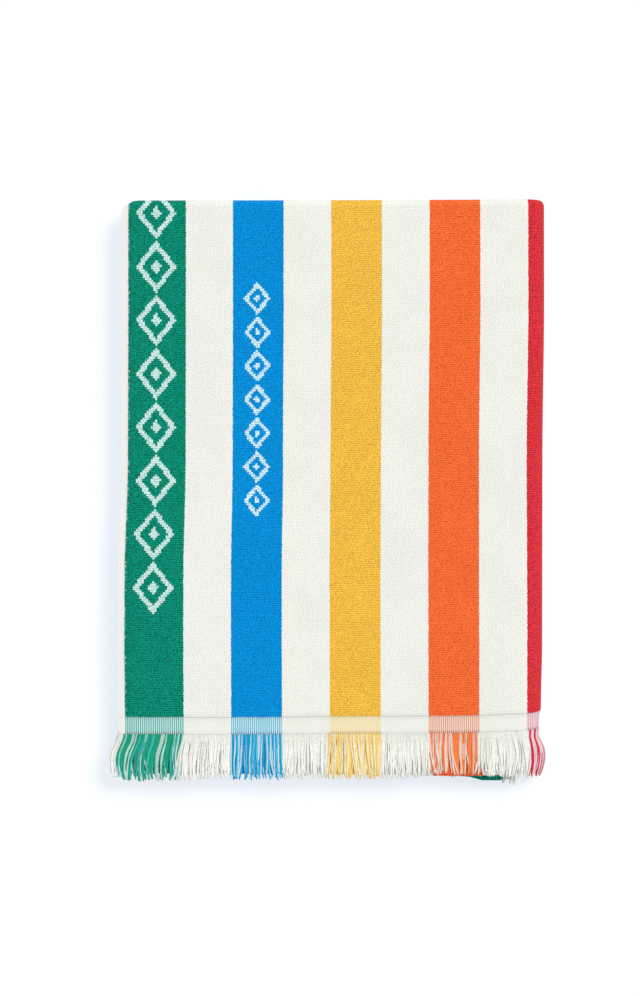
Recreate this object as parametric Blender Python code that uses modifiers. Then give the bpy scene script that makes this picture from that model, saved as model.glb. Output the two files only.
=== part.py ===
# Beach towel: a striped terry cloth, about 0.90 m by 1.59 m, with a fringe of yarns at each end.
# It was folded end to end, and end to end again, which gives a strip of four layers. That strip was
# then folded in three across its width, one third tucked in between the other two.
# X is across the folded towel, Y is along it with the fringes at the low end, and Z is up.
# "Across" is the distance over the flat cloth, from the selvage that shows to the one tucked in.
import math

import bmesh
import bpy

CLOTH_THICK = 0.0018
LAYER_STEP = 0.0024  # from the middle of one layer to the middle of the next
FRINGE_THICK = 0.0011
FRINGE_GAP = 0.0004  # between the woven end of the cloth and its fringe
FRINGE_HEAD = 0.0030  # the row at the top of a fringe where its yarns still lie side by side
TEETH = 60
TOOTH_SHARE = 0.6  # of the distance from one tooth to the next
SELVAGE_DROOP = 0.0014  # of the side edge that shows, over the round fold below it
DROOP_REACH = 0.0120
CORNER_REACH = 0.0240  # from the selvage that is tucked in to where its corner starts to hang out

# The three stretches of the width: the height of the middle of its four layers, in steps above
# the lowest layer, which way the good side looks, and how many strips make it.
THIRDS = (
    dict(start="near_selvage", end="right_fold", level=9.5, looks=1, strips=8),
    dict(start="right_fold", end="left_fold", level=1.5, looks=-1, strips=5),
    dict(start="left_fold", end="far_selvage", level=5.5, looks=1, strips=5),
)
# The four stretches of the length: how many steps it lies out from the middle of the four layers,
# and the shares of it where a row of corners lies. Those of 0.08 and 0.92 are level with the hems.
LAYERS = (
    dict(start="near_hem", end="top_fold", out=1.5, rows=(0, 0.14, 0.29, 0.43, 0.57, 0.71, 0.86, 1)),
    dict(start="top_fold", end="bottom_fold", out=-1.5, rows=(0, 0.2, 0.4, 0.6, 0.8, 0.92, 1)),
    dict(start="bottom_fold", end="top_fold", out=-0.5, rows=(0, 0.08, 0.2, 0.4, 0.6, 0.8, 1)),
    dict(start="top_fold", end="far_hem", out=0.5, rows=(0, 0.2, 0.4, 0.6, 0.8, 1)),
)
SIDE_STRIPS = 9  # in each round side fold
END_ROWS = 6  # in the widest fold at an end

# X of the side edges, at places along the towel. A fold's X is that of its outermost face.
SIDES = (
    dict(y=0.2065, near_selvage=-0.1487, right_fold=0.1556, left_fold=-0.1462, far_selvage=0.1318),
    dict(y=0.1380, near_selvage=-0.1487, right_fold=0.1557, left_fold=-0.1468, far_selvage=0.1325),
    dict(y=0.0230, near_selvage=-0.1488, right_fold=0.1545, left_fold=-0.1464, far_selvage=0.1314),
    dict(y=-0.060, near_selvage=-0.1509, right_fold=0.1544, left_fold=-0.1460, far_selvage=0.1308),
    dict(y=-0.110, near_selvage=-0.1510, right_fold=0.1543, left_fold=-0.1464, far_selvage=0.1310),
    dict(y=-0.153, near_selvage=-0.1509, right_fold=0.1534, left_fold=-0.1469, far_selvage=0.1312),
    dict(y=-0.168, near_selvage=-0.1506, right_fold=0.1524, left_fold=-0.1469, far_selvage=0.1312),
    dict(y=-0.205, near_selvage=-0.1509, right_fold=0.1522, left_fold=-0.1465, far_selvage=0.1314),
)
# Y of the ends, at places across the flat cloth. A fold's Y is that of its outermost face.
ENDS = (
    dict(across=0.000, top_fold=0.2058, bottom_fold=-0.2030, near_hem=-0.1745, far_hem=-0.1727),
    dict(across=0.010, top_fold=0.2098, bottom_fold=-0.2030, near_hem=-0.1745, far_hem=-0.1727),
    dict(across=0.095, top_fold=0.2099, bottom_fold=-0.2032, near_hem=-0.1746, far_hem=-0.1730),
    dict(across=0.150, top_fold=0.2100, bottom_fold=-0.2034, near_hem=-0.1739, far_hem=-0.1727),
    dict(across=0.240, top_fold=0.2103, bottom_fold=-0.2047, near_hem=-0.1735, far_hem=-0.1725),
    dict(across=0.285, top_fold=0.2107, bottom_fold=-0.2036, near_hem=-0.1720, far_hem=-0.1709),
    dict(across=0.312, top_fold=0.2104, bottom_fold=-0.2018, near_hem=-0.1698, far_hem=-0.1690),
    dict(across=0.360, top_fold=0.2094, bottom_fold=-0.2014, near_hem=-0.1722, far_hem=-0.1712),
    dict(across=0.470, top_fold=0.2085, bottom_fold=-0.2011, near_hem=-0.1735, far_hem=-0.1728),
    dict(across=0.627, top_fold=0.2076, bottom_fold=-0.2013, near_hem=-0.1730, far_hem=-0.1720),
    dict(across=0.760, top_fold=0.2082, bottom_fold=-0.2020, near_hem=-0.1745, far_hem=-0.1730),
    dict(across=0.850, top_fold=0.2085, bottom_fold=-0.2034, near_hem=-0.1757, far_hem=-0.1742),
    dict(across=0.870, top_fold=0.2085, bottom_fold=-0.2053, near_hem=-0.1760, far_hem=-0.1745),
    dict(across=0.883, top_fold=0.2085, bottom_fold=-0.2082, near_hem=-0.1761, far_hem=-0.1746),
    dict(across=0.907, top_fold=0.2086, bottom_fold=-0.2083, near_hem=-0.1765, far_hem=-0.1750),
)
# How far a fringe sways to +X by its tips, and its length, at places across the flat cloth.
SWAYS = (
    dict(across=0.000, sway=-0.0058, length=0.0302),
    dict(across=0.014, sway=-0.0048, length=0.0326),
    dict(across=0.045, sway=-0.0029, length=0.0324),
    dict(across=0.075, sway=0.0000, length=0.0314),
    dict(across=0.205, sway=0.0000, length=0.0320),
    dict(across=0.224, sway=0.0000, length=0.0292),
    dict(across=0.256, sway=0.0000, length=0.0294),
    dict(across=0.268, sway=0.0004, length=0.0320),
    dict(across=0.290, sway=0.0025, length=0.0334),
    dict(across=0.308, sway=0.0050, length=0.0334),
    dict(across=0.332, sway=0.0000, length=0.0290),
    dict(across=0.590, sway=0.0000, length=0.0285),
    dict(across=0.622, sway=-0.0070, length=0.0275),
    dict(across=0.655, sway=0.0000, length=0.0285),
    dict(across=0.892, sway=0.0000, length=0.0290),
    dict(across=0.907, sway=0.0060, length=0.0350),
)
# Soft rises and hollows of the stack, by the place of the middle, how far each reaches and how high.
RISES = (
    dict(x=0.120, y=-0.150, reach=0.060, height=0.0014),
    dict(x=0.125, y=0.110, reach=0.080, height=0.0007),
    dict(x=-0.070, y=0.020, reach=0.090, height=-0.0009),
    dict(x=-0.020, y=0.190, reach=0.070, height=0.0006),
)

LOWEST = CLOTH_THICK / 2  # height of the middle of the lowest layer
TALLEST = LOWEST + 11 * LAYER_STEP


def blend(table, key, at, column):
    """The value of a column between the two rows whose keys lie on either side."""
    rows = sorted(table, key=lambda row: row[key])
    if at <= rows[0][key]:
        return rows[0][column]
    for low, high in zip(rows, rows[1:]):
        if at <= high[key]:
            share = (at - low[key]) / (high[key] - low[key])
            share = share * share * (3 - 2 * share)
            return low[column] + (high[column] - low[column]) * share
    return rows[-1][column]


def fold_radius(one, other, key):
    """Half the distance between two stretches that a fold joins."""
    return abs(one[key] - other[key]) / 2 * LAYER_STEP


def width_stations():
    """Places across the cloth, in order: how a point of the middle layer moves round the folds."""
    stations = []
    across = 0.0
    for i, third in enumerate(THIRDS):
        height = LOWEST + third["level"] * LAYER_STEP
        ends = [middle_of_fold(name) for name in (third["start"], third["end"])]
        length = abs(ends[1] - ends[0])
        shares = [k / third["strips"] for k in range(third["strips"] + 1)]
        if i == 0:
            shares.insert(1, DROOP_REACH / length)
        if i == 2:
            shares.insert(-1, 1 - CORNER_REACH / length)
        for share in shares:
            stations.append(dict(across=across + share * length, third=third, share=share, turn=0.0,
                                 radius=0.0, height=height, looks=third["looks"]))
        across += length
        if i + 1 == len(THIRDS):
            break
        after = THIRDS[i + 1]
        radius = fold_radius(third, after, "level")
        outer = radius + 1.5 * LAYER_STEP
        centre = (height + LOWEST + after["level"] * LAYER_STEP) / 2
        for k in range(1, SIDE_STRIPS):
            turn = math.pi * k / SIDE_STRIPS
            stations.append(dict(across=across + turn * outer, third=third, share=1.0, turn=turn,
                                 radius=radius, height=centre, looks=third["looks"]))
        across += math.pi * outer
    return stations


def middle_of_fold(name):
    """X of the axis of a side fold, or of a selvage, halfway along the towel."""
    return blend(SIDES, "y", 0.0, name) - fold_inset(name)


def fold_inset(name):
    """How far the axis of a fold lies inside its outermost face, to +X or -X."""
    for before, after in zip(THIRDS, THIRDS[1:]):
        if before["end"] == name:
            reach = fold_radius(before, after, "level") + 1.5 * LAYER_STEP + CLOTH_THICK / 2
            return reach * before["looks"]
    return 0.0


def length_stations():
    """Places along the cloth, in order: which edge it runs to, and how far out it lies."""
    stations = []
    for i, layer in enumerate(LAYERS):
        for share in layer["rows"]:
            stations.append(dict(layer=layer, share=share, out=layer["out"] * LAYER_STEP, past=0.0))
        if i + 1 == len(LAYERS):
            break
        after = LAYERS[i + 1]
        radius = fold_radius(layer, after, "out")
        middle = (layer["out"] + after["out"]) / 2 * LAYER_STEP
        start_side = math.copysign(1, layer["out"] - after["out"])
        way = 1 if layer["end"] == "top_fold" else -1
        rows = END_ROWS if radius > LAYER_STEP else 4
        for k in range(1, rows):
            turn = math.pi * k / rows
            stations.append(dict(layer=layer, share=1.0, out=middle + start_side * radius * math.cos(turn),
                                 past=way * radius * math.sin(turn)))
    return stations


def end_edge(name, across):
    """Y of the axis of an end fold, or of a woven end, at a place across the cloth."""
    edge = blend(ENDS, "across", across, name)
    if name == "top_fold":
        return edge - 1.5 * LAYER_STEP - CLOTH_THICK / 2
    if name == "bottom_fold":
        return edge + 0.5 * LAYER_STEP + CLOTH_THICK / 2
    return edge


def lift(x, y, z):
    """How much higher a point lies than in an even stack: nothing at the bottom, most at the top."""
    rise = 0.0
    for row in RISES:
        near = math.hypot(x - row["x"], y - row["y"]) / row["reach"]
        rise += row["height"] * math.exp(-near * near)
    return rise * max(0.0, z - LOWEST) / (TALLEST - LOWEST)


def place(width, y, out, slip=0.0):
    """The point at a station of the width, at this y, that lies so far out from the middle layer."""
    third = width["third"]
    edges = [blend(SIDES, "y", y, third[key]) - fold_inset(third[key]) for key in ("start", "end")]
    x = edges[0] + (edges[1] - edges[0]) * width["share"]
    side = width["looks"]
    x += side * (width["radius"] + out) * math.sin(width["turn"]) + slip
    if width["radius"]:
        z = width["height"] + (width["radius"] + out) * math.cos(width["turn"]) * fold_start(third)
    else:
        z = width["height"] + side * out
    near = max(0.0, 1 - width["across"] / DROOP_REACH)
    z -= SELVAGE_DROOP * near
    return (x, y, z + lift(x, y, z))


def fold_start(third):
    """1 where a side fold starts at its top and goes down, -1 where it starts at its bottom."""
    after = THIRDS[THIRDS.index(third) + 1]
    return math.copysign(1, third["level"] - after["level"])


def cloth_point(width, length):
    """The point of the cloth at a station of its width and one of its length."""
    layer = length["layer"]
    start, end = (end_edge(layer[key], width["across"]) for key in ("start", "end"))
    y = start + (end - start) * length["share"] + length["past"]
    return place(width, y, length["out"])


def grid_object(name, columns, rows, keep, locate, thick, material, home):
    """A grid whose corners are moved to the places that locate gives, with a thickness."""
    mesh = bpy.data.meshes.new(name)
    bm = bmesh.new()
    bmesh.ops.create_grid(bm, x_segments=columns, y_segments=rows, size=0.5)
    spot = {v: (round((v.co.x + 0.5) * columns), round((v.co.y + 0.5) * rows)) for v in bm.verts}
    gone = []
    for face in bm.faces:
        corner = [min(spot[v][axis] for v in face.verts) for axis in (0, 1)]
        if not keep(*corner):
            gone.append(face)
    bmesh.ops.delete(bm, geom=gone, context="FACES")
    for v in bm.verts:
        v.co = locate(*spot[v])
    bm.to_mesh(mesh)
    bm.free()
    mesh.materials.append(material)
    mesh.shade_smooth()
    sheet = bpy.data.objects.new(name, mesh)
    home.objects.link(sheet)
    shell = sheet.modifiers.new("Thickness", "SOLIDIFY")
    shell.thickness = thick
    shell.offset = 0.0
    shell.use_even_offset = True
    return sheet


def make_cloth(material, home):
    """The whole cloth as one folded sheet, hems and selvages included."""
    widths = width_stations()
    lengths = length_stations()
    return grid_object("cloth", len(widths) - 1, len(lengths) - 1, lambda i, j: True,
                       lambda i, j: cloth_point(widths[i], lengths[j]), CLOTH_THICK, material, home)


def between(widths, across):
    """The station at any place across the cloth, and the two cloth stations beside it."""
    after = next((i for i, w in enumerate(widths) if w["across"] >= across), len(widths) - 1)
    low, high = widths[max(after - 1, 0)], widths[after]
    span = high["across"] - low["across"]
    part = 0.0 if span == 0 else (across - low["across"]) / span
    made = dict(high if high["turn"] else low)
    made["across"] = across
    if low["turn"] or high["turn"]:
        first = low["turn"]
        last = high["turn"] or math.pi
        made["turn"] = first + (last - first) * part
        made["share"] = 1.0
    else:
        made["share"] = low["share"] + (high["share"] - low["share"]) * part
    return made, low, high, part


def make_fringe(name, hem, out, shorter, material, home):
    """One comb along a woven end: the head row and the yarns below it, grouped as teeth."""
    widths = width_stations()
    total = widths[-1]["across"]
    pitch = total / TEETH
    cuts = [0.0]
    for k in range(TEETH):
        cuts += [k * pitch + TOOTH_SHARE * pitch / 2, k * pitch + TOOTH_SHARE * pitch, (k + 1) * pitch]
    cuts[-1] = total

    def locate(i, j):
        station, low, high, part = between(widths, cuts[i])
        ends = [blend(ENDS, "across", w["across"], hem) for w in (low, high)]
        top = ends[0] + (ends[1] - ends[0]) * part - FRINGE_GAP
        length = blend(SWAYS, "across", cuts[i], "length") * shorter
        down = (0.0, FRINGE_HEAD, length)[j]
        sway = blend(SWAYS, "across", cuts[i], "sway") * shorter * (down / length) ** 2
        return place(station, top - down, out * LAYER_STEP, sway)

    return grid_object(name, len(cuts) - 1, 2, lambda i, j: j == 0 or i % 3 < 2, locate,
                       FRINGE_THICK, material, home)


def plain_material(name, colour):
    """A matt textile finish."""
    material = bpy.data.materials.new(name)
    material.use_nodes = True
    shader = material.node_tree.nodes["Principled BSDF"]
    shader.inputs["Base Color"].default_value = (*colour, 1.0)
    shader.inputs["Roughness"].default_value = 0.95
    shader.inputs["Metallic"].default_value = 0.0
    return material


def main():
    for old in list(bpy.data.objects):
        bpy.data.objects.remove(old, do_unlink=True)
    towel = bpy.data.collections.new("beach_towel")
    bpy.context.scene.collection.children.link(towel)
    make_cloth(plain_material("terry", (0.84, 0.86, 0.81)), towel)
    near_yarn = plain_material("near_yarn", (0.45, 0.66, 0.60))
    far_yarn = plain_material("far_yarn", (0.72, 0.60, 0.50))
    make_fringe("near_fringe", "near_hem", 1.5, 1.0, near_yarn, towel)
    make_fringe("far_fringe", "far_hem", 0.5, 0.97, far_yarn, towel)


main()
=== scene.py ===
# A striped beach towel with a fringe at each end, folded for the shelf.
# The cloth is one sheet: it was folded end to end twice, which gives a strip of four layers, and that
# strip was folded in three across its width. Every piece here is worked out on the flat cloth first
# ("across" from the selvage that shows, "along" from the end that shows) and then put through the folds.
import math

import bpy
import numpy as np
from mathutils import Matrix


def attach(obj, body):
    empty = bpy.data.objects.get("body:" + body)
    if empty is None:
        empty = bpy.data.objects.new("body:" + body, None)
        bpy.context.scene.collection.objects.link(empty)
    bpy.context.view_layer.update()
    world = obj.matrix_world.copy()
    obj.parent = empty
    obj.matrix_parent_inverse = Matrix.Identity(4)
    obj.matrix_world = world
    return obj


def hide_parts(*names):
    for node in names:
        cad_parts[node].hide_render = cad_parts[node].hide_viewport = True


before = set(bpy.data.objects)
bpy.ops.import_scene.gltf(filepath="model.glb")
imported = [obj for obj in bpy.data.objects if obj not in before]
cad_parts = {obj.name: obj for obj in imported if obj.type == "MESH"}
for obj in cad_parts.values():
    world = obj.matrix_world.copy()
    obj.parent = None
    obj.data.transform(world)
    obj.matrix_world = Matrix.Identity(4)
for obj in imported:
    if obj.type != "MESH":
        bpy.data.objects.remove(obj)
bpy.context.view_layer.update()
mm = 0.001
print("frame loaded:", sorted(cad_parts))


def table(columns, *rows):
    # one dictionary for each row, with the names of the columns
    return [dict(zip(columns.split(), row)) for row in rows]


def newObject(name, data):
    made = bpy.data.objects.new(name, data)
    bpy.context.scene.collection.objects.link(made)
    return made


# the photograph looks straight down, so a pixel is the same size all over the top of the towel
photo = dict(pixel=0.72 * mm, wide=640, high=996, middleX=328.5, middleY=491.75)
camera = dict(height=5.2, sensor=36.0, top=28.5 * mm)


def atPixel(x, y):
    # metres on the towel's top for a place in the photograph
    return ((x - photo["middleX"]) * photo["pixel"], (photo["middleY"] - y) * photo["pixel"])


def makeCamera():
    data = bpy.data.cameras.new("overheadCamera")
    data.sensor_width = camera["sensor"]
    data.lens = camera["sensor"] * (camera["height"] - camera["top"]) / (photo["high"] * photo["pixel"])
    seen = newObject("overheadCamera", data)
    x, y = atPixel(photo["wide"] / 2, photo["high"] / 2)
    seen.location = (x, y, camera["height"])
    bpy.context.scene.camera = seen


studio = dict(
    skyColour=(0.98, 0.99, 1.0), skyStrength=0.72,
    keyColour=(1.0, 0.985, 0.965), keyStrength=2.3, keyAngle=30, keyTurn=(0.0, 38, 42),
    brightness=1.15,  # of the light on the towel's top, next to one that shows a colour as it is
)
floorPaper = dict(side=6.0, colour=(0.35, 0.35, 0.35), glow=(0.60, 0.64, 0.70), roughness=0.9, gloss=0.1)


def makeLight():
    world = bpy.data.worlds.new("softBox")
    bpy.context.scene.world = world
    world.use_nodes = True
    back = world.node_tree.nodes["Background"]
    back.inputs["Color"].default_value = (*studio["skyColour"], 1)
    back.inputs["Strength"].default_value = studio["skyStrength"]
    data = bpy.data.lights.new("windowLight", "SUN")
    data.energy = studio["keyStrength"]
    data.angle = math.radians(studio["keyAngle"])
    data.color = studio["keyColour"]
    lamp = newObject("windowLight", data)
    lamp.rotation_euler = [math.radians(v) for v in studio["keyTurn"]]
    bpy.context.scene.view_settings.view_transform = "Standard"
    bpy.context.scene.view_settings.look = "None"


def makeFloor():
    side = floorPaper["side"] / 2
    mesh = bpy.data.meshes.new("floor")
    corners = [(-side, -side, 0), (side, -side, 0), (side, side, 0), (-side, side, 0)]
    mesh.from_pydata(corners, [], [(0, 1, 2, 3)])
    floor = newObject("floor", mesh)
    paper = bpy.data.materials.new("whitePaper")
    paper.use_nodes = True
    shader = paper.node_tree.nodes["Principled BSDF"]
    shader.inputs["Base Color"].default_value = (*floorPaper["colour"], 1)
    shader.inputs["Roughness"].default_value = floorPaper["roughness"]
    shader.inputs["Specular IOR Level"].default_value = floorPaper["gloss"]
    shader.inputs["Emission Color"].default_value = (*floorPaper["glow"], 1)
    shader.inputs["Emission Strength"].default_value = 1.0
    mesh.materials.append(paper)


makeCamera()
makeLight()
makeFloor()
print("camera and light ready")

# how the cloth is folded
folds = dict(
    step=2.36 * mm,  # from the middle of one layer to the middle of the next
    half=1.12 * mm,  # half the thickness where there is pile
    flatHalf=0.55 * mm,  # and where the weave is flat: the end bands and the selvages
    endHalf=0.34 * mm,  # and at the last weft, as thin as the strands that leave it
    endTaper=2.0 * mm,  # the part of the end band that thins to it
    outer=14.1 * mm, innerFold=9.3 * mm,  # how far the axes of the side folds lie inside them
    topInset=4.5 * mm, bottomInset=2.1 * mm,  # and those of the folds at the ends
    endBand=12.3 * mm, selvage=4.6 * mm, pileSlope=0.9 * mm,
    droop=1.7 * mm, droopReach=14 * mm, droopMost=1.5,  # how the selvage that shows sinks
    flareReach=62 * mm, flareMost=1.1,  # and how the first stripe flares out
    drawnFrom=0.29, drawnTo=0.60,  # the cloth is fully drawn aside between these places across it
    measuredAt=0.15,  # the place across it where its length is measured
)
# which edges each stretch of the width runs between, its height in the stack, in layers, and which way
# its good side looks
thirds = table(
    "start end level looks",
    ("nearSelvage", "rightFold", 9.5, 1),
    ("rightFold", "leftFold", 1.5, -1),
    ("leftFold", "farSelvage", 5.5, 1),
)
# the stretches of the length, and how far out from the middle of the four each lies
layers = table(
    "start end level",
    ("nearHem", "topFold", 1.5),
    ("topFold", "bottomFold", -1.5),
    ("bottomFold", "topFold", -0.5),
    ("topFold", "farHem", 0.5),
)
# x of the outermost face of each side edge, how far the first stripe flares out at the selvage, and
# how far the cloth is drawn towards the right fold, at places along the towel
sides = table(
    "y nearSelvage rightFold leftFold farSelvage flare drawn",
    (0.2065, -0.1487, 0.1556, -0.1462, 0.1318, 0.0000, 0.0000),
    (0.1380, -0.1487, 0.1557, -0.1468, 0.1325, 0.0000, 0.0000),
    (0.0230, -0.1486, 0.1545, -0.1464, 0.1314, 0.0004, 0.0000),
    (-0.060, -0.1503, 0.1544, -0.1460, 0.1308, 0.0012, 0.0004),
    (-0.110, -0.1503, 0.1543, -0.1464, 0.1310, 0.0014, 0.0006),
    (-0.153, -0.1500, 0.1534, -0.1469, 0.1312, 0.0014, 0.0014),
    (-0.168, -0.1498, 0.1524, -0.1469, 0.1312, 0.0012, 0.0024),
    (-0.205, -0.1500, 0.1522, -0.1465, 0.1314, 0.0014, 0.0024),
)
# y of the outermost face of each end, at places across the flat cloth
ends = table(
    "across topFold bottomFold nearHem farHem",
    (0.000, 0.2058, -0.2030, -0.1745, -0.1727),
    (0.010, 0.2098, -0.2030, -0.1745, -0.1727),
    (0.095, 0.2099, -0.2032, -0.1746, -0.1730),
    (0.150, 0.2100, -0.2034, -0.1739, -0.1727),
    (0.240, 0.2103, -0.2047, -0.1735, -0.1725),
    (0.285, 0.2107, -0.2036, -0.1720, -0.1709),
    (0.312, 0.2104, -0.2018, -0.1698, -0.1690),
    (0.360, 0.2094, -0.2014, -0.1722, -0.1712),
    (0.470, 0.2085, -0.2011, -0.1735, -0.1728),
    (0.627, 0.2076, -0.2013, -0.1730, -0.1720),
    (0.760, 0.2082, -0.2020, -0.1745, -0.1730),
    (0.850, 0.2085, -0.2034, -0.1757, -0.1742),
    (0.870, 0.2085, -0.2053, -0.1760, -0.1745),
    (0.883, 0.2085, -0.2082, -0.1761, -0.1746),
    (0.907, 0.2086, -0.2083, -0.1765, -0.1750),
)
# soft rises and hollows of the whole stack
rises = table(
    "x y reach height",
    (0.120, -0.150, 0.060, 1.4 * mm),
    (0.125, 0.110, 0.080, 0.7 * mm),
    (-0.070, 0.020, 0.090, -0.9 * mm),
    (-0.020, 0.190, 0.070, 0.6 * mm),
)
# and small waves all over it: each is two crossing sines, with how fast they turn along x and along y
waves = table(
    "height x y start crossX crossY crossStart",
    (0.22 * mm, 61, 23, 0.6, -18, 47, 1.1),
    (0.12 * mm, 137, -71, 2.0, 39, 118, 0.0),
)
stray = dict(  # how the layers under the top one stray from it
    under=(0.38, 0.42),  # the places along the cloth between which it turns under
    wander=1.8 * mm, wanderMean=0.55, wanderSwing=0.45, wanderTurns=(7.9, 15.1), wanderReach=70 * mm,
    ripple=0.35 * mm, rippleOnTop=0.4, rippleTurns=(61, 23), rippleReach=6 * mm,
    slip=3.3 * mm, slipAt=0.800, slipReach=0.10, slipRises=(0.10, 0.20), slipFalls=(0.262, 0.286),
)


def smooth01(value, low, high):
    # from 0 at low to 1 at high, with a soft start and end
    share = np.clip((value - low) / (high - low), 0, 1)
    return share * share * (3 - 2 * share)


def ease(rows, key, column, at):
    # a column of a table at any place, turning softly between its rows
    rows = sorted(rows, key=lambda row: row[key])
    keys = np.array([row[key] for row in rows])
    values = np.array([row[column] for row in rows])
    at = np.clip(at, keys[0], keys[-1])
    low = np.clip(np.searchsorted(keys, at, side="right") - 1, 0, len(keys) - 2)
    share = (at - keys[low]) / (keys[low + 1] - keys[low])
    share = share * share * (3 - 2 * share)
    return values[low] + (values[low + 1] - values[low]) * share


def foldAxis(name, y):
    # x of a selvage, or of the axis that a side fold turns about
    inset = {"rightFold": folds["outer"], "leftFold": -folds["innerFold"]}.get(name, 0.0)
    return ease(sides, "y", name, y) - inset


def endAxis(name, across):
    # y of a woven end, or of the axis that an end fold turns about
    inset = {"topFold": folds["topInset"], "bottomFold": -folds["bottomInset"]}.get(name, 0.0)
    return ease(ends, "across", name, across) - inset


def runsOf(stretches, axisOf, outward):
    # straight runs and half turns in order, with where each begins on the flat cloth: a straight run is
    # as long as the way between its two axes, and a turn is a half circle, "outward" from its middle
    runs, begin = [], 0.0
    for i, now in enumerate(stretches):
        length = float(abs(axisOf(now["end"]) - axisOf(now["start"])))
        runs.append(dict(kind="straight", begin=begin, length=length, now=now))
        begin += length
        if i + 1 < len(stretches):
            after = stretches[i + 1]
            radius = abs(now["level"] - after["level"]) / 2 * folds["step"]
            length = math.pi * (radius + outward)
            runs.append(dict(kind="turn", begin=begin, length=length, now=now, after=after, radius=radius))
            begin += length
    return runs, begin


outermost = layers[0]["level"] * folds["step"]
acrossRuns, clothWidth = runsOf(thirds, lambda name: foldAxis(name, 0.0), outermost)
alongRuns, clothLength = runsOf(layers, lambda name: endAxis(name, folds["measuredAt"]), 0.0)
lowest = folds["half"]
tallest = lowest + 11 * folds["step"]  # the middle of the last of the 12 layers
print(f"flat cloth {clothWidth:.4f} by {clothLength:.4f} m")


def onRun(run, runs, place):
    # which places on the flat cloth belong to a run: the first and the last go on past the edges
    here = (place >= run["begin"]) | (run is runs[0])
    return here & ((place < run["begin"] + run["length"]) | (run is runs[-1]))


def lift(x, y, z):
    # how much higher a point lies than in an even stack: the sum of bell curves and of crossing sines,
    # from nothing on the floor to all of it on the top layer
    rise = np.zeros_like(x)
    for row in rises:
        rise += row["height"] * np.exp(-((x - row["x"]) ** 2 + (y - row["y"]) ** 2) / row["reach"] ** 2)
    for row in waves:
        crossing = np.sin(x * row["crossX"] + y * row["crossY"] + row["crossStart"])
        rise += row["height"] * np.sin(x * row["x"] + y * row["y"] + row["start"]) * crossing
    return rise * np.clip(z - lowest, 0, None) / (tallest - lowest)


def throughWidth(across, y, out):
    # x and z of a point that lies "out" from the middle of the four layers: along a straight run it
    # keeps its height, and round a turn it goes on a circle whose radius grows with out. By the selvage
    # that shows it flares to the side and droops, and further on the cloth is drawn aside
    x, z = np.zeros_like(y), np.zeros_like(y)
    flare = ease(sides, "y", "flare", y) * np.clip(1 - across / folds["flareReach"], 0, folds["flareMost"])
    near = np.clip(1 - across / folds["droopReach"], 0, folds["droopMost"])
    drawn = ease(sides, "y", "drawn", y) * smooth01(across, 0.0, folds["drawnFrom"])
    across = across + drawn * smooth01(across, clothWidth, folds["drawnTo"])
    for run in acrossRuns:
        here = onRun(run, acrossRuns, across)
        third = run["now"]
        share = (across[here] - run["begin"]) / run["length"]
        axis = foldAxis(third["end"], y[here])
        height = lowest + third["level"] * folds["step"]
        if run["kind"] == "straight":
            start = foldAxis(third["start"], y[here])
            x[here] = start + (axis - start) * share
            z[here] = height + third["looks"] * out[here]
        else:
            turn = math.pi * share
            down = np.sign(third["level"] - run["after"]["level"])
            centre = (height + lowest + run["after"]["level"] * folds["step"]) / 2
            x[here] = axis + third["looks"] * (run["radius"] + out[here]) * np.sin(turn)
            z[here] = centre + down * (run["radius"] + out[here]) * np.cos(turn)
    return x - flare, z - folds["droop"] * near * near


def throughLength(along, across, rise):
    # y and out of a point that lies "rise" above the middle of the cloth on its good side: along a
    # straight run it keeps its layer, and a turn is a half circle with the good side outside or inside
    y, out = np.zeros_like(across), np.zeros_like(across)
    for run in alongRuns:
        here = onRun(run, alongRuns, along)
        layer = run["now"]
        share = (along[here] - run["begin"]) / run["length"]
        axis = endAxis(layer["end"], across[here])
        way = 1 if layer["end"] == "topFold" else -1
        if run["kind"] == "straight":
            start = endAxis(layer["start"], across[here])
            y[here] = start + (axis - start) * share
            out[here] = layer["level"] * folds["step"] + way * rise[here]
        else:
            turn = math.pi * share
            side = np.sign(layer["level"] - run["after"]["level"])
            middle = (layer["level"] + run["after"]["level"]) / 2 * folds["step"]
            radius = run["radius"] + way * side * rise[here]
            y[here] = axis + way * radius * np.sin(turn)
            out[here] = middle + side * radius * np.cos(turn)
    return y, out


def selvageStray(across, along):
    # the selvages of the layers below the top one lie a little further in than its own: the distance
    # is a slow wave along the cloth, and they go up and down as a quicker one, only near the selvage
    below = smooth01(along, *stray["under"])
    toSide = np.minimum(across, clothWidth - across)
    inward = np.where(across < clothWidth / 2, 1.0, -1.0)
    inward = inward * (1 - smooth01(toSide, 0.0, stray["wanderReach"]))
    slow, slower = stray["wanderTurns"]
    swing = stray["wanderSwing"] * np.sin(along * slow + 0.8) * np.cos(along * slower)
    wander = stray["wander"] * (stray["wanderMean"] + swing) * inward
    quick, quicker = stray["rippleTurns"]
    ripple = stray["ripple"] * np.sin(along * quick + 2.0) * np.sin(along * quicker)
    ripple = ripple * (1 - smooth01(toSide, 0.0, stray["rippleReach"]))
    onTop = stray["rippleOnTop"]
    return wander * below, ripple * (onTop + (1 - onTop) * below)


def underSlip(across, along):
    # near the bottom fold the layers under the top one lie a little to the right of it: the slip is
    # greatest at the fold, falls off along the cloth as a bell curve, and ends before the side fold
    bell = np.exp(-((along - stray["slipAt"]) / stray["slipReach"]) ** 2)
    slip = stray["slip"] * bell * smooth01(across, *stray["slipRises"])
    return slip * (1 - smooth01(across, *stray["slipFalls"]))


def placeOnCloth(across, along, rise):
    # the whole way from the flat cloth to the folded one
    y, out = throughLength(along, across, rise)
    x, z = throughWidth(across, y, out)
    astray, ripple = selvageStray(across, along)
    x, z = x + astray + underSlip(across, along), z + ripple
    return np.stack([x, y, z + lift(x, y, z)], axis=-1)


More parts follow.
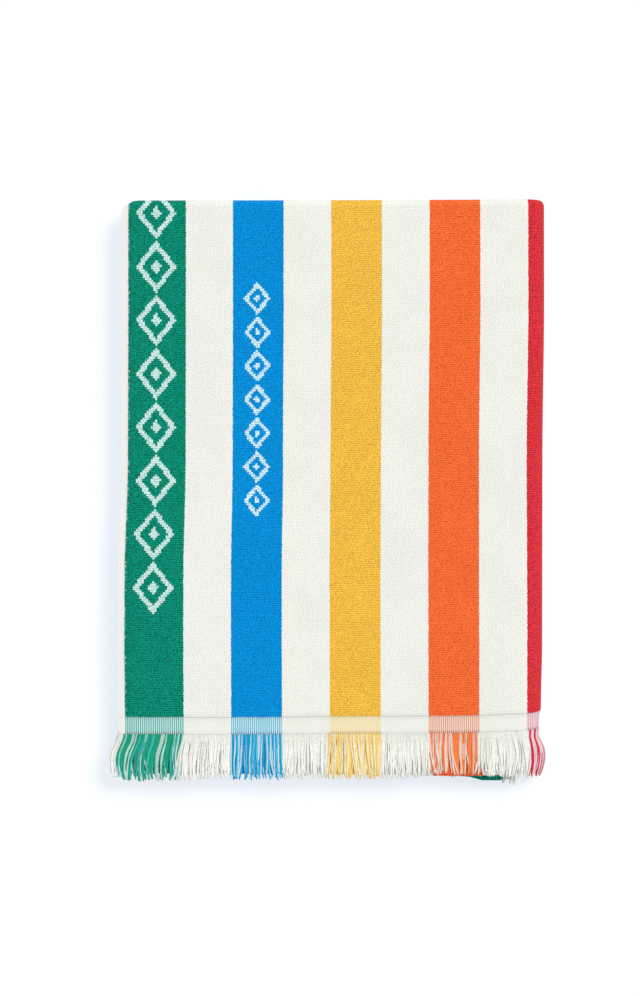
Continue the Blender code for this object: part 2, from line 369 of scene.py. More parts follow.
def display(red, green, blue):
    # the linear colour that this light shows as the screen's one of 0 to 255
    c = np.array([red, green, blue]) / 255
    linear = np.where(c <= 0.04045, c / 12.92, ((c + 0.055) / 1.055) ** 2.4)
    return tuple(linear / studio["brightness"])


cream = display(236, 237, 230)
paleLoop = display(252, 254, 250)  # the same yarn where it stands out of a dyed ground
pileDyes = dict(
    green=display(4, 134, 110), blue=display(0, 141, 215), yellow=display(241, 188, 70),
    orange=display(245, 107, 53), red=display(209, 48, 57), pink=display(222, 66, 140),
)
threadDyes = dict(  # of the single warp threads, in the end bands and the fringe
    green=display(60, 179, 175), blue=display(76, 187, 221), yellow=display(243, 219, 148),
    orange=display(232, 155, 124), red=display(212, 147, 165), pink=display(224, 141, 185),
)
strandDyes = dict(  # of the dyed strands in the fringe
    green=display(18, 158, 122), blue=display(12, 156, 212), yellow=display(247, 208, 114),
    orange=display(244, 128, 66), red=display(206, 44, 72), pink=display(224, 84, 150),
)
# the share of a fringe's yarns that are dyed, and how much the loops of a stripe differ in tone
dyedShare = dict(green=0.60, blue=0.51, yellow=0.55, orange=0.58, red=0.52, pink=0.54)
liveliness = dict(green=0.92, blue=0.56, yellow=0.44, orange=0.56, red=0.76, pink=0.70)
stripes = dict(
    order=("blue", "yellow", "orange", "red", "pink", "green", "blue", "yellow", "orange", "red", "pink"),
    endColour="green", endWidth=41.3 * mm, first=79.6 * mm, pitch=70.6 * mm, width=36.4 * mm,
)


def stripeEdges():
    # (begins, ends, colour) of every stripe on the flat cloth
    found = [(folds["selvage"], folds["selvage"] + stripes["endWidth"], stripes["endColour"])]
    for k, name in enumerate(stripes["order"]):
        begin = stripes["first"] + k * stripes["pitch"]
        found.append((begin, begin + stripes["width"], name))
    found.append((clothWidth - found[0][1], clothWidth - found[0][0], stripes["endColour"]))
    return found


cotton = dict(gloss=0.04, sheenRoughness=0.6)


def newMaterial(name, roughness, sheen):
    material = bpy.data.materials.new(name)
    material.use_nodes = True
    shader = material.node_tree.nodes["Principled BSDF"]
    for socket, value in (("Roughness", roughness), ("Specular IOR Level", cotton["gloss"]),
                          ("Sheen Weight", sheen), ("Sheen Roughness", cotton["sheenRoughness"])):
        shader.inputs[socket].default_value = value
    return material, material.node_tree, shader


def feed(tree, socket, value):
    # a socket takes another socket or a plain value
    if isinstance(value, bpy.types.NodeSocket):
        tree.links.new(value, socket)
    elif socket.type == "RGBA":
        socket.default_value = (*value[:3], 1)
    else:
        socket.default_value = value


def calc(tree, operation, *values):
    node = tree.nodes.new("ShaderNodeMath")
    node.operation = operation
    for socket, value in zip(node.inputs, values):
        feed(tree, socket, value)
    return node.outputs[0]


def plus(tree, *values):
    return calc(tree, "ADD", *values)


def minus(tree, *values):
    return calc(tree, "SUBTRACT", *values)


def times(tree, *values):
    return calc(tree, "MULTIPLY", *values)


def mixColour(tree, factor, one, other, blend="MIX"):
    node = tree.nodes.new("ShaderNodeMix")
    node.data_type = "RGBA"
    node.blend_type = blend
    feed(tree, node.inputs[0], factor)
    feed(tree, node.inputs[6], one)
    feed(tree, node.inputs[7], other)
    return node.outputs[2]


def mixNumber(tree, factor, one, other):
    node = tree.nodes.new("ShaderNodeMix")
    node.data_type = "FLOAT"
    for socket, value in zip(node.inputs[0:1] + node.inputs[2:4], (factor, one, other)):
        feed(tree, socket, value)
    return node.outputs[0]


def between(tree, value, low, high, toLow=0.0, toHigh=1.0):
    # toLow where the value is low and toHigh where it is high, with a soft start and end
    node = tree.nodes.new("ShaderNodeMapRange")
    node.interpolation_type = "SMOOTHSTEP"
    for socket, item in zip(node.inputs, (value, low, high, toLow, toHigh)):
        feed(tree, socket, item)
    return node.outputs[0]


def joinXY(tree, x, y, z=0.0):
    node = tree.nodes.new("ShaderNodeCombineXYZ")
    for socket, value in zip(node.inputs, (x, y, z)):
        feed(tree, socket, value)
    return node.outputs[0]


def toned(tree, colour, tone):
    # a colour made darker or lighter by a number
    return mixColour(tree, 1.0, colour, joinXY(tree, tone, tone, tone), "MULTIPLY")


def flatPlace(tree):
    # the piece's own map: across and along the flat cloth, in metres
    node = tree.nodes.new("ShaderNodeUVMap")
    node.uv_map = "flatCloth"
    split = tree.nodes.new("ShaderNodeSeparateXYZ")
    tree.links.new(node.outputs[0], split.inputs[0])
    return split.outputs[0], split.outputs[1]


def noise(tree, vector, scale, detail):
    node = tree.nodes.new("ShaderNodeTexNoise")
    node.inputs["Scale"].default_value = scale
    node.inputs["Detail"].default_value = detail
    tree.links.new(vector, node.inputs["Vector"])
    return node.outputs["Fac"]


def bump(tree, shader, height, distance, strength):
    node = tree.nodes.new("ShaderNodeBump")
    node.inputs["Distance"].default_value = distance
    node.inputs["Strength"].default_value = strength
    tree.links.new(height, node.inputs["Height"])
    tree.links.new(node.outputs[0], shader.inputs["Normal"])


# the pile: its loops, and how much darker or lighter they make its colour
pile = dict(
    pitch=1.50 * mm, row=1.57 * mm,  # from loop to loop across the cloth, and from row to row
    jitter=0.5, halfStep=0.25,  # how unevenly the loops stand, and how far each row steps aside
    height=0.45 * mm, bumpiness=0.7, roughness=0.95, sheen=0.03,
    scallop=0.16 * mm, fray=0.16 * mm,  # how far a stripe's edge steps in and out with rows and loops
    unevenEnd=0.5 * mm, unevenSide=2.1 * mm, softEdge=0.2 * mm,  # where the pile begins
    wobble=5.0, wobbleScale=260.0,  # of the rows' shaded sides
    grain=3.6, grainSize=0.82 * mm, loopShade=0.40, rowShade=0.25, darkest=0.3,
    creamTone=0.09, figureTone=0.16,  # how much of these shades the cream loops show
    creamGap=0.945, figureGap=1.0, dyedGap=0.82,  # the shade of the gaps between loops
    gap=(0.36, 0.66),  # and how far from a loop's middle they begin and are deepest, in loops
    behind=(0.28, 0.60), behindDye=(0.26, 0.80),  # the same for the dye behind a figure's loops
    broad=(0.985, 1.015), broadScale=28.0,  # the broad, faint unevenness of the whole
)
# the flat weave of the end bands and the selvages
band = dict(
    gapDye=0.20, threadDye=1.20,  # how much dye shows between two threads, and on one
    faint=0.45, patch=(0.35, 0.60), patchScale=75.0,  # the threads are this faint in patches
    shade=0.94, selvageEdge=0.5 * mm,  # the tone between the selvages, and where it begins
    letGo=(0.3 * mm, 2.4 * mm), letGoShade=0.97,  # the part by the last weft
    # the painted shadow line that the last row of loops throws on the band
    pileShadowInset=0.35 * mm, pileShadowReach=(0.2 * mm, 0.5 * mm), pileShadowTone=(0.72, 0.98),
    rib=0.12, pick=0.05, pickPitch=0.7 * mm,  # the heights of the warp and the weft, and the weft's pitch
)
# lozenges woven in cream on the first two stripes
chains = table(
    "middle half start pitch fill count stroke heart",
    (24.6 * mm, 14.6 * mm, 86 * mm, 38.5 * mm, 0.97, 11, 0.30, 0.26),
    (97.2 * mm, 9.6 * mm, 156 * mm, 24.2 * mm, 0.97, 7, 0.34, 0.24),
)


def stripeNodes(tree, across, colours):
    # (1 on a stripe and 0 on the cream, the stripe's colour, its liveliness): the stripes between the two
    # end ones repeat, so a stripe's number is a whole number of pitches, and the rest says if it is on
    turn = calc(tree, "DIVIDE", minus(tree, across, stripes["first"]), stripes["pitch"])
    number = calc(tree, "FLOOR", turn)
    part = minus(tree, turn, number)
    count = len(stripes["order"])
    on = calc(tree, "LESS_THAN", part, stripes["width"] / stripes["pitch"])
    on = times(tree, on, calc(tree, "GREATER_THAN", number, -0.5))
    on = times(tree, on, calc(tree, "LESS_THAN", number, count - 0.5))
    ramp = tree.nodes.new("ShaderNodeValToRGB")
    ramp.color_ramp.interpolation = "CONSTANT"
    ramp.color_ramp.elements.remove(ramp.color_ramp.elements[1])
    for k, name in enumerate(stripes["order"]):
        stop = ramp.color_ramp.elements[0] if k == 0 else ramp.color_ramp.elements.new(k / count)
        stop.color = (*colours[name], liveliness[name])
    tree.links.new(calc(tree, "DIVIDE", plus(tree, number, 0.5), count), ramp.inputs[0])
    edge = calc(tree, "MINIMUM", across, minus(tree, clothWidth, across))
    endOn = calc(tree, "GREATER_THAN", edge, folds["selvage"])
    inside = calc(tree, "LESS_THAN", edge, folds["selvage"] + stripes["endWidth"])
    endOn = times(tree, endOn, inside)
    colour = mixColour(tree, endOn, ramp.outputs["Color"], colours[stripes["endColour"]])
    lively = mixNumber(tree, endOn, ramp.outputs["Alpha"], liveliness[stripes["endColour"]])
    return calc(tree, "MAXIMUM", on, endOn), colour, lively


def lozengeChain(tree, across, along, chain):
    # 1 on a chain of woven lozenges: each is where the shares of its half width and half length add
    # up to a value in the band of its outline, or to a small one at its heart
    step = calc(tree, "DIVIDE", minus(tree, along, chain["start"]), chain["pitch"])
    whole = calc(tree, "FLOOR", step)
    lengthwise = calc(tree, "ABSOLUTE", minus(tree, minus(tree, step, whole), 0.5))
    lengthwise = times(tree, lengthwise, 2 / chain["fill"])
    sideways = calc(tree, "ABSOLUTE", minus(tree, across, chain["middle"]))
    total = plus(tree, lengthwise, calc(tree, "DIVIDE", sideways, chain["half"]))
    outline = calc(tree, "LESS_THAN", total, 1.0)
    hollow = calc(tree, "LESS_THAN", total, 1 - chain["stroke"])
    heart = calc(tree, "LESS_THAN", total, chain["heart"])
    shape = plus(tree, minus(tree, outline, hollow), heart)
    inRow = times(tree, calc(tree, "GREATER_THAN", whole, -0.5),
                 calc(tree, "LESS_THAN", whole, chain["count"] - 0.5))
    return times(tree, shape, inRow)


def readCloth(tree):
    # what the weave is made of at each place of the flat cloth
    across, along = flatPlace(tree)
    flat = joinXY(tree, across, along)
    column = calc(tree, "DIVIDE", across, pile["pitch"])
    row = calc(tree, "DIVIDE", along, pile["row"])
    # each loop of the pile is one cell, and the loops of one row stand between those of the next
    aside = calc(tree, "SINE", times(tree, row, math.pi))
    aside = plus(tree, column, times(tree, aside, pile["halfStep"]))
    cells = tree.nodes.new("ShaderNodeTexVoronoi")
    cells.voronoi_dimensions = "2D"
    cells.inputs["Scale"].default_value = 1.0
    cells.inputs["Randomness"].default_value = pile["jitter"]
    tree.links.new(joinXY(tree, aside, row), cells.inputs["Vector"])
    tints = tree.nodes.new("ShaderNodeSeparateColor")
    tree.links.new(cells.outputs["Color"], tints.inputs[0])
    # a row's shaded side is one turn of a sine for each row, which wobbles
    wobble = minus(tree, noise(tree, flat, pile["wobbleScale"], 1.0), 0.5)
    wobble = times(tree, wobble, pile["wobble"])
    rowTurn = plus(tree, times(tree, row, 2 * math.pi), wobble)
    threadDyed, threadDye, _ = stripeNodes(tree, across, threadDyes)
    return dict(
        across=across, along=along, flat=flat, column=column, row=row,
        loopNear=cells.outputs["Distance"],  # from the middle of the loop
        loopTint=minus(tree, tints.outputs[1], 0.5),  # the loop's own random number
        loopAside=minus(tree, tints.outputs[0], 0.5),  # and another one
        rowWave=calc(tree, "SINE", rowTurn),
        thread=calc(tree, "SINE", times(tree, across, 2 * math.pi / pile["pitch"])),
        threadDyed=threadDyed, threadDye=threadDye,
        toEnd=calc(tree, "MINIMUM", along, minus(tree, clothLength, along)),
        toSide=calc(tree, "MINIMUM", across, minus(tree, clothWidth, across)),
    )


def figures(tree, at):
    # whole loops draw the lozenges, so these go by the middle of each loop's column and row
    column = times(tree, plus(tree, calc(tree, "FLOOR", at["column"]), 0.5), pile["pitch"])
    row = times(tree, plus(tree, calc(tree, "FLOOR", at["row"]), 0.5), pile["row"])
    return plus(tree, *[lozengeChain(tree, column, row, chain) for chain in chains])


def pileTone(tree, at, isDyed, figure, lively):
    # loops differ a little at random, the gaps between them get painted shade, and each row has a painted
    # shaded side
    paleTone = mixNumber(tree, figure, pile["creamTone"], pile["figureTone"])
    strength = mixNumber(tree, isDyed, paleTone, lively)
    grain = minus(tree, noise(tree, at["flat"], 1 / pile["grainSize"], 1.0), 0.5)
    tone = times(tree, at["loopTint"], pile["loopShade"])
    tone = plus(tree, tone, times(tree, grain, pile["grain"]))
    tone = plus(tree, tone, times(tree, at["rowWave"], pile["rowShade"]))
    tone = plus(tree, 1.0, times(tree, tone, strength))
    tone = calc(tree, "MAXIMUM", tone, pile["darkest"])
    paleGap = mixNumber(tree, figure, pile["creamGap"], pile["figureGap"])
    deepest = mixNumber(tree, isDyed, paleGap, pile["dyedGap"])
    tone = times(tree, tone, between(tree, at["loopNear"], *pile["gap"], 1.0, deepest))
    broad = noise(tree, at["flat"], pile["broadScale"], 3.0)
    return times(tree, tone, between(tree, broad, 0.3, 0.7, *pile["broad"]))


def pileColour(tree, at, goodSide):
    # a stripe's edge steps in and out by less than a loop from row to row
    shifted = plus(tree, at["across"], times(tree, at["loopAside"], pile["fray"] * 2))
    shifted = plus(tree, shifted, times(tree, at["rowWave"], pile["scallop"]))
    dyed, dye, lively = stripeNodes(tree, shifted, pileDyes)
    figure = figures(tree, at)
    # but for the figures, the dyed warp is up on the good side, and the cream one on the back
    dyedUp = minus(tree, 1.0, figure) if goodSide else figure
    isDyed = times(tree, dyed, dyedUp)
    # between the cream loops of a figure the dyed ones behind it show through
    behind = between(tree, at["loopNear"], *pile["behind"], *pile["behindDye"])
    loop = mixColour(tree, figure, cream, paleLoop)
    pale = mixColour(tree, times(tree, figure, behind), loop, at["threadDye"])
    return toned(tree, mixColour(tree, isDyed, pale, dye), pileTone(tree, at, isDyed, figure, lively))


def bandColour(tree, at):
    # the flat band at each end shows both warps side by side, as fine upright lines
    clear = noise(tree, at["flat"], band["patchScale"], 2.0)
    clear = between(tree, clear, *band["patch"], band["faint"], 1.0)
    thread = times(tree, at["thread"], clear)
    thread = between(tree, thread, -0.6, 0.6, band["gapDye"], band["threadDye"])
    thread = times(tree, at["threadDyed"], thread)
    # the dyed threads show stronger by the last weft, where they are let go
    letGo = between(tree, at["toEnd"], *band["letGo"], 1.0, 0.0)
    dye = mixColour(tree, 1.0, at["threadDye"], at["threadDye"], "MULTIPLY")
    dye = mixColour(tree, letGo, at["threadDye"], dye)
    colour = mixColour(tree, thread, cream, dye)
    edge = folds["selvage"]
    shade = between(tree, at["toSide"], edge - band["selvageEdge"], edge, 1.0, band["shade"])
    shade = times(tree, shade, mixNumber(tree, letGo, 1.0, band["letGoShade"]))
    # the last row of loops throws a painted shadow on the band, as a dotted line
    pileShadow = calc(tree, "ABSOLUTE", minus(tree, at["toEnd"], folds["endBand"] - band["pileShadowInset"]))
    dots = between(tree, at["thread"], -1.0, 1.0, *band["pileShadowTone"])
    pileShadow = between(tree, pileShadow, *band["pileShadowReach"], dots, 1.0)
    return toned(tree, toned(tree, colour, shade), pileShadow)


def beyond(tree, at, distance, border, uneven):
    # 1 beyond the border where the pile begins, which steps in and out by a part of a loop
    place = plus(tree, distance, times(tree, at["loopAside"], uneven))
    return between(tree, place, border - pile["softEdge"], border + pile["softEdge"])


def makeTerry(name, goodSide):
    material, tree, shader = newMaterial(name, pile["roughness"], pile["sheen"])
    at = readCloth(tree)
    isPile = times(tree, beyond(tree, at, at["toEnd"], folds["endBand"], pile["unevenEnd"]),
                  beyond(tree, at, at["toSide"], folds["selvage"], pile["unevenSide"]))
    colour = mixColour(tree, isPile, bandColour(tree, at), pileColour(tree, at, goodSide))
    tree.links.new(colour, shader.inputs["Base Color"])
    # a loop is highest in its middle, and the flat weave has ribs of warp with the weft over them
    loop = between(tree, at["loopNear"], 0.0, 0.6, 1.0, 0.0)
    ribs = times(tree, plus(tree, at["thread"], 1.0), band["rib"])
    picks = calc(tree, "SINE", times(tree, at["along"], 2 * math.pi / band["pickPitch"]))
    ribs = plus(tree, ribs, times(tree, picks, band["pick"]))
    bump(tree, shader, mixNumber(tree, isPile, ribs, loop), pile["height"], pile["bumpiness"])
    return material


# the mesh of the cloth: the steps along each straight run, and the number of them round each turn
clothGrid = dict(
    across=(4.0 * mm, 9.5 * mm, 9.5 * mm), acrossTurns=(22, 14),
    along=(4.0 * mm, 13.0 * mm, 13.0 * mm, 13.0 * mm), alongTurns=(12, 8, 8),
    nearEdge=(0.3 * mm, 1.2 * mm, 2.0 * mm),  # extra places by each edge
    closest=0.2 * mm,
)


def thicknessAt(across, along):
    # half the thickness: full where there is pile, thin on the end bands and the selvages
    toEnd = np.minimum(along, clothLength - along)
    toSide = np.minimum(across, clothWidth - across)
    slope = folds["pileSlope"]
    isPile = smooth01(toEnd, folds["endBand"] - slope / 2, folds["endBand"] + slope / 2)
    isPile = isPile * smooth01(toSide, folds["selvage"] - slope / 2, folds["selvage"] + slope / 2)
    half = folds["flatHalf"] + (folds["half"] - folds["flatHalf"]) * isPile
    return half + (folds["endHalf"] - folds["flatHalf"]) * (1 - smooth01(toEnd, 0.0, folds["endTaper"]))


def stationsOf(runs, total, way, border):
    # places along one way of the cloth: even steps, with extra ones where the weave goes flat
    places = [total]
    for i, run in enumerate(runs):
        if run["kind"] == "turn":
            count = clothGrid[way + "Turns"][i // 2]
        else:
            count = max(2, round(run["length"] / clothGrid[way][i // 2]))
        places += list(run["begin"] + run["length"] * np.arange(count) / count)
    slope = folds["pileSlope"]
    extra = [*clothGrid["nearEdge"], border / 2]
    extra += [border - slope / 2, border - slope / 6, border + slope / 6, border + slope / 2]
    places = np.array(sorted(places + extra + [total - v for v in extra]))
    keep = np.concatenate([[True], np.diff(places) > clothGrid["closest"]])
    return places[keep]


def meshPiece(name, points, faces, flat):
    # a smooth mesh whose map holds each point's place on the flat cloth
    mesh = bpy.data.meshes.new(name)
    mesh.from_pydata(points.astype(np.float32), [], faces)
    mesh.polygons.foreach_set("use_smooth", np.ones(len(mesh.polygons), bool))
    corner = np.zeros(len(mesh.loops), np.int32)
    mesh.loops.foreach_get("vertex_index", corner)
    places = mesh.uv_layers.new(name="flatCloth")
    places.data.foreach_set("uv", flat[corner].astype(np.float32).ravel())
    mesh.update()
    return newObject(name, mesh)


def sharpRim(mesh, rim, half):
    # the cloth's cut edge doesn't round off the shading of its faces
    pairs = np.zeros(len(mesh.edges) * 2, np.int32)
    mesh.edges.foreach_get("vertices", pairs)
    pairs = pairs.reshape(-1, 2)
    sharp = np.isin(pairs, rim).all(1) & ((pairs < half).all(1) | (pairs >= half).all(1))
    mesh.attributes.new("sharp_edge", "BOOLEAN", "EDGE").data.foreach_set("value", sharp)


def makeCloth():
    # a grid on the flat cloth, once above its middle and once below it by half its thickness there, put
    # through the folds and joined by a wall round the rim
    across = stationsOf(acrossRuns, clothWidth, "across", folds["selvage"])
    along = stationsOf(alongRuns, clothLength, "along", folds["endBand"])
    columns, rows = len(across), len(along)
    across, along = np.meshgrid(across, along, indexing="ij")
    half = thicknessAt(across, along)
    front = placeOnCloth(across, along, half).reshape(-1, 3)
    back = placeOnCloth(across, along, -half).reshape(-1, 3)
    number = np.arange(columns * rows).reshape(columns, rows)
    over = np.stack([number[:-1, :-1], number[1:, :-1], number[1:, 1:], number[:-1, 1:]], -1)
    over = over.reshape(-1, 4)
    under = over[:, ::-1] + columns * rows
    rim = np.concatenate([number[:, 0], number[-1, 1:], number[-2::-1, -1], number[0, -2:0:-1]])
    follow = np.roll(rim, -1)
    wall = np.stack([rim, rim + columns * rows, follow + columns * rows, follow], -1)
    faces = np.concatenate([over, under, wall]).tolist()
    flat = np.tile(np.stack([across.ravel(), along.ravel()], -1), (2, 1))
    piece = meshPiece("towelCloth", np.concatenate([front, back]), faces, flat)
    piece.data.materials.append(makeTerry("terryFront", True))
    piece.data.materials.append(makeTerry("terryBack", False))
    slots = (np.arange(len(faces)) >= len(over)).astype(np.int32)  # the back takes the wall too
    piece.data.polygons.foreach_set("material_index", slots)
    sharpRim(piece.data, np.concatenate([rim, rim + columns * rows]), columns * rows)
    print("cloth:", columns, "by", rows)
    return piece


cloth = makeCloth()

# the fringes: warp ends twisted into yarns, each of two strands
fringe = dict(
    pitch=0.88 * mm, jitter=0.10,  # from one yarn to the next, and how unevenly they stand
    radius=0.56 * mm, rootRadius=0.53 * mm, tipRadius=0.45 * mm, flatness=0.40, rings=9, sides=5,
    inside=0.5 * mm,  # how much of a strand lies in the weave
    lengthSpread=0.6 * mm, strandSpread=0.3 * mm,  # how much the lengths of yarns and strands differ
    clump=4.8 * mm, gather=0.19,  # the width of a bunch, and how far its yarns come together
    lean=1.2 * mm, wave=0.70 * mm, curl=0.9 * mm,
    crossShare=0.34, dyedCross=0.04, crossLean=2.6 * mm,  # yarns that cross others, pale and dyed
    swayRight=2.5, swayLeft=2.1,  # how far the turn of a sway goes
    depth=0.12 * mm, ripple=0.1 * mm, paleRaise=0.14 * mm, crossRaise=0.25 * mm,
    plySide=0.20 * mm, plyUp=0.08 * mm, plyTurns=1.5,  # how a yarn's two strands go round each other
    turn=0.31, irregular=0.21,  # the order of pale and dyed yarns
    creamShare=0.53, thread=0.10,  # the share of strong yarns on cream, and of those as pale as a thread
    paleCream=0.52, astray=0.6 * mm, gain=1.012, yarnTone=0.06, strandTone=0.04,
)
# how far a fringe sways to +X by its tips, and its length
sways = table(
    "across sway length",
    (0.000, -6.8 * mm, 30.2 * mm),
    (0.014, -5.6 * mm, 32.8 * mm),
    (0.045, -3.4 * mm, 32.6 * mm),
    (0.075, 0.0, 31.4 * mm),
    (0.205, 0.0, 32.0 * mm),
    (0.224, 0.0, 29.2 * mm),
    (0.256, 0.0, 29.4 * mm),
    (0.268, 0.6 * mm, 32.0 * mm),
    (0.290, 3.8 * mm, 33.4 * mm),
    (0.308, 7.4 * mm, 33.6 * mm),
    (0.332, 0.0, 28.0 * mm),
    (0.590, 0.0, 28.0 * mm),
    (0.622, -8.3 * mm, 27.0 * mm),
    (0.655, 0.0, 28.0 * mm),
    (0.892, 0.0, 28.6 * mm),
    (0.899, 4.0 * mm, 34.0 * mm),
    (0.907, 9.0 * mm, 36.0 * mm),
)


def dyeAt(across):
    # the colours of a strand and of a single thread at each place, which are cream between the stripes,
    # and the share of the yarns that have the strand's
    strand = np.tile(cream, (len(across), 1))
    thread = strand.copy()
    share = np.full(len(across), fringe["creamShare"])
    for begin, end, name in stripeEdges():
        here = (across > begin) & (across < end)
        strand[here] = strandDyes[name]
        thread[here] = threadDyes[name]
        share[here] = dyedShare[name]
    return strand, thread, share


def yarnStarts(draw):
    # where each yarn leaves the weave, and the number from 0 to 1 that picks its colour
    count = int(clothWidth / fringe["pitch"])
    jitter = draw.uniform(-fringe["jitter"], fringe["jitter"], count)
    start = (np.arange(count) + 0.5 + jitter) * clothWidth / count
    pick = (np.arange(count) * fringe["turn"] + draw.normal(0, fringe["irregular"], count)) % 1
    return start, pick


def yarnBends(draw, start, isPale, t):
    # how far a yarn goes aside on its way down: it gathers towards the middle of its bunch, leans with a
    # power of the way, sways as a sine that its bunch shares, and curls at its tip
    count = len(start)
    widths = draw.uniform(0.5, 1.5, int(clothWidth / fringe["clump"]) + 20) * fringe["clump"]
    bunches = np.cumsum(widths)
    bunch = np.abs(start[:, None] - bunches[None, :]).argmin(1)
    lean = draw.normal(0, fringe["lean"] * 0.8, len(bunches))[bunch]
    lean = lean + draw.normal(0, fringe["lean"] * 0.3, count)
    crossing = draw.uniform(0, 1, count) < np.where(isPale, fringe["crossShare"], fringe["dyedCross"])
    lean = (lean + crossing * draw.normal(0, fringe["crossLean"], count))[:, None]
    gather = fringe["gather"] * draw.uniform(0.3, 1.0, (count, 1))
    ply = draw.uniform(0, 2 * math.pi, (count, 1))
    bunchTurns = draw.uniform(0, 2 * math.pi, (2, len(bunches), 1))[:, bunch]
    phase, turns = bunchTurns + draw.normal(0, 0.5, (2, count, 1))
    shift = (bunches[bunch] - start)[:, None] * gather * smooth01(t, 0.05, 0.9) + lean * t ** 1.5
    shift = shift + fringe["wave"] * np.sin(phase + t * (3 + turns / 2)) * t
    shift = shift + draw.normal(0, fringe["curl"], (count, 1)) * t ** 5
    return shift, crossing, ply, turns


def yarnHeights(draw, out, outTip, isPale, crossing, turns, t):
    # how far a yarn lies out from the middle of the four layers: it goes from its own layer down to what
    # it lies on, each a little deeper or less, and pale and crossing ones lie over the others
    outs = (out + (outTip - out) * smooth01(t, 0.0, 0.24)) * folds["step"]
    outs = outs - draw.uniform(0, 1, (len(isPale), 1)) * fringe["depth"] * smooth01(t, 0.04, 0.25)
    outs = outs + fringe["ripple"] * np.sin(turns + 5 * t) * smooth01(t, 0.05, 0.35)
    raised = isPale * fringe["paleRaise"] + crossing * fringe["crossRaise"]
    return outs + raised[:, None] * smooth01(t, 0.08, 0.4)


def splitYarns(start, shift, outs, ply, t):
    # the two strands of a yarn leave the weave side by side, and turn slowly round each other
    way = np.tile([-1.0, 1.0], len(start))[:, None]
    start, shift, outs, ply = (np.repeat(v, 2, axis=0) for v in (start, shift, outs, ply))
    winding = 2 * math.pi * fringe["plyTurns"] * t * (ply / math.pi - 1)
    winding = winding + 0.8 * np.cos(ply * 3) * smooth01(t, 0, 0.2)
    shift = shift + way * fringe["plySide"] * np.cos(winding)
    return start, shift, outs + way * fringe["plyUp"] * np.sin(winding)


def strandLines(draw, hem, shorter, start, shift, outs, t):
    # the middle line of each strand: down from the hem by its length, aside by its bends and the sway of
    # the fringe, and then through the side folds as the cloth goes
    count = len(start)
    length = ease(sways, "across", "length", start) * shorter
    length = length + np.repeat(draw.normal(0, fringe["lengthSpread"], count // 2), 2)
    length = length + draw.normal(0, fringe["strandSpread"], count)
    sway = ease(sways, "across", "sway", start)[:, None] * shorter
    swayTurn = np.where(sway > 0, fringe["swayRight"], fringe["swayLeft"])
    sway = sway * np.sin(swayTurn * t) * smooth01(t, -0.2, 0.5)
    down = -fringe["inside"] + (length[:, None] + fringe["inside"]) * t
    onCloth = (start[:, None] + shift > 0) & (start[:, None] + shift < clothWidth)
    across = start[:, None] + np.where(onCloth, shift, 0)
    y = (endAxis(hem, start)[:, None] - down).ravel()
    x, z = throughWidth(across.ravel(), y, outs.ravel())
    x = x + (sway + np.where(onCloth, 0, shift)).ravel()
    lines = np.stack([x, y, z + lift(x, y, z)], -1).reshape(count, -1, 3)
    lines[..., 2] = np.maximum(lines[..., 2], fringe["radius"] * 1.02)  # none goes into the floor
    return lines


def strandRadius(draw, count, t):
    # a strand swells as it leaves the weave, and is thinner again by its tip
    radius = fringe["radius"] + (fringe["tipRadius"] - fringe["radius"]) * t ** 3
    radius = fringe["rootRadius"] + (radius - fringe["rootRadius"]) * smooth01(t, 0.02, 0.22)
    return radius * draw.uniform(0.9, 1.1, (count, 1))


def tubes(centres, radius, around):
    # round tubes along many lines at once: each ring is a circle across the line's own direction, made
    # flatter upwards, and a tube is closed by a point at its tip and a flat face in the weave
    count, rings, _ = centres.shape
    ahead = np.gradient(centres, axis=1)
    ahead /= np.linalg.norm(ahead, axis=2, keepdims=True)
    side = np.cross(ahead, [0.0, 0.0, 1.0])
    weak = np.linalg.norm(side, axis=2, keepdims=True) < 0.1
    side = np.where(weak, [1.0, 0.0, 0.0], side)
    side /= np.linalg.norm(side, axis=2, keepdims=True)
    up = np.cross(side, ahead)
    angle = np.arange(around) * 2 * math.pi / around
    ring = np.cos(angle)[:, None] * side[:, :, None, :]
    ring = ring + fringe["flatness"] * np.sin(angle)[:, None] * up[:, :, None, :]
    points = centres[:, :, None, :] + ring * radius[:, :, None, None]
    tips = centres[:, -1] + ahead[:, -1] * radius.max() * 0.8
    points = np.concatenate([points.reshape(count, -1, 3), tips[:, None, :]], 1)
    each = rings * around + 1
    number = np.arange(rings * around).reshape(rings, around)
    after = np.roll(number, -1, 1)
    skin = np.stack([number[:-1], after[:-1], after[1:], number[1:]], -1).reshape(-1, 4)
    tip = np.stack([number[-1], after[-1], np.full(around, each - 1)], -1)
    first = np.arange(count) * each
    faces = (skin[None] + first[:, None, None]).reshape(-1, 4).tolist()
    faces += (tip[None] + first[:, None, None]).reshape(-1, 3).tolist()
    faces += (number[0][::-1][None] + first[:, None]).tolist()
    step = np.linalg.norm(np.diff(centres, axis=1), axis=2)
    walked = np.concatenate([np.zeros((count, 1)), np.cumsum(step, 1)], 1)
    along = np.concatenate([np.repeat(walked, around, 1), walked[:, -1:]], 1).ravel()
    return points.reshape(-1, 3), faces, along


def strandColours(draw, start, pick):
    # in a stripe a yarn has the strand's dye, the thread's paler one or nearly none, by turns
    count = len(start) // 2
    pick = np.repeat(pick, 2)[:, None]
    astray = np.repeat(draw.normal(0, fringe["astray"], count), 2)
    strand, thread, share = dyeAt(start + astray)
    share = share[:, None]
    pale = np.array(cream) * fringe["paleCream"] + thread * (1 - fringe["paleCream"])
    made = np.where(pick < share, strand, np.where(pick < share + fringe["thread"], thread, pale))
    tone = np.repeat(draw.uniform(1 - fringe["yarnTone"], 1 + fringe["yarnTone"], count), 2)[:, None]
    made = made * tone * fringe["gain"]
    made = made * draw.uniform(1 - fringe["strandTone"], 1 + fringe["strandTone"], (len(start), 1))
    return np.concatenate([np.clip(made, 0, 1), np.ones((len(start), 1))], 1)


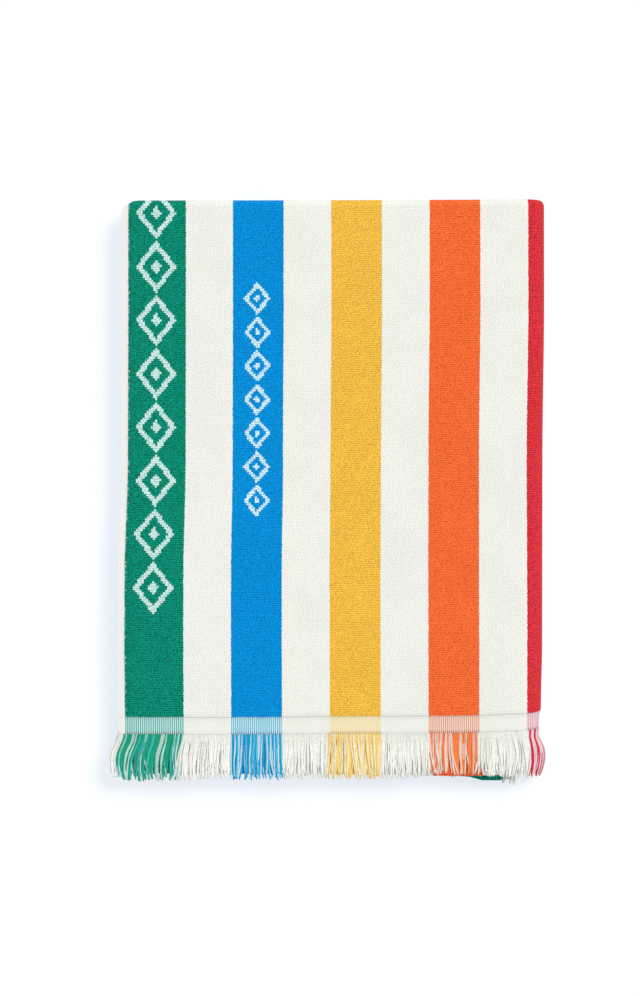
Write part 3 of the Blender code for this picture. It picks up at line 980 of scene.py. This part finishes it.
def makeFringe(name, hem, out, outTip, shorter, seed):
    draw = np.random.default_rng(seed)
    t = np.linspace(0, 1, fringe["rings"])[None, :] ** 1.2  # from the weave to the tips
    start, pick = yarnStarts(draw)
    isPale = pick > dyeAt(start)[2]
    shift, crossing, ply, turns = yarnBends(draw, start, isPale, t)
    outs = yarnHeights(draw, out, outTip, isPale, crossing, turns, t)
    start, shift, outs = splitYarns(start, shift, outs, ply, t)
    lines = strandLines(draw, hem, shorter, start, shift, outs, t)
    points, faces, along = tubes(lines, strandRadius(draw, len(start), t), fringe["sides"])
    each = len(points) // len(start)
    piece = meshPiece(name, points, faces, np.stack([np.repeat(start, each), along], -1))
    colour = np.repeat(strandColours(draw, start, pick), each, 0)
    tint = piece.data.color_attributes.new("strandColour", "FLOAT_COLOR", "POINT")
    tint.data.foreach_set("color", colour.astype(np.float32).ravel())
    piece.data.materials.append(yarn)
    print(name, len(start), "strands,", len(piece.data.polygons), "faces")
    return piece


twist = dict(
    roughness=0.9, sheen=0.12, height=0.02 * mm,
    pitch=1.3 * mm, shade=(0.95, 1.02),  # one turn of the yarn, and the tones of its two sides: painted light on its crests and painted shade in its grooves
    fuzzScale=700.0, fuzz=9.0, fuzzShade=(0.93, 1.06),
    rootReach=4.0 * mm, rootShade=0.84,  # the part that the cloth's edge shades
)


def makeYarn():
    # the twist is a sine along the strand, blurred by fuzz, and gives both the bump and a painted shade
    # that follows it, darker in the grooves and lighter on the crests
    material, tree, shader = newMaterial("twistedYarn", twist["roughness"], twist["sheen"])
    tint = tree.nodes.new("ShaderNodeAttribute")
    tint.attribute_name = "strandColour"
    _, along = flatPlace(tree)
    coords = tree.nodes.new("ShaderNodeTexCoord")
    fuzz = noise(tree, coords.outputs["Object"], twist["fuzzScale"], 2.0)
    turn = times(tree, along, 2 * math.pi / twist["pitch"])
    turn = calc(tree, "SINE", plus(tree, turn, times(tree, fuzz, twist["fuzz"])))
    tone = between(tree, turn, -1.0, 1.0, *twist["shade"])
    tone = times(tree, tone, between(tree, fuzz, 0.3, 0.7, *twist["fuzzShade"]))
    root = between(tree, along, 0.0, twist["rootReach"], twist["rootShade"], 1.0)
    colour = toned(tree, tint.outputs["Color"], times(tree, tone, root))
    tree.links.new(colour, shader.inputs["Base Color"])
    bump(tree, shader, turn, twist["height"], 1.0)
    return material


yarn = makeYarn()
nearFringe = makeFringe("nearFringe", "nearHem", 1.5, 0.46, 1.0, 11)
farFringe = makeFringe("farFringe", "farHem", 0.5, 0.25, 0.96, 23)

# what stands for what
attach(cloth, "root")
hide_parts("cloth")
for strands, node in ((nearFringe, "near_fringe"), (farFringe, "far_fringe")):
    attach(strands, "root")
    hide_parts(node)
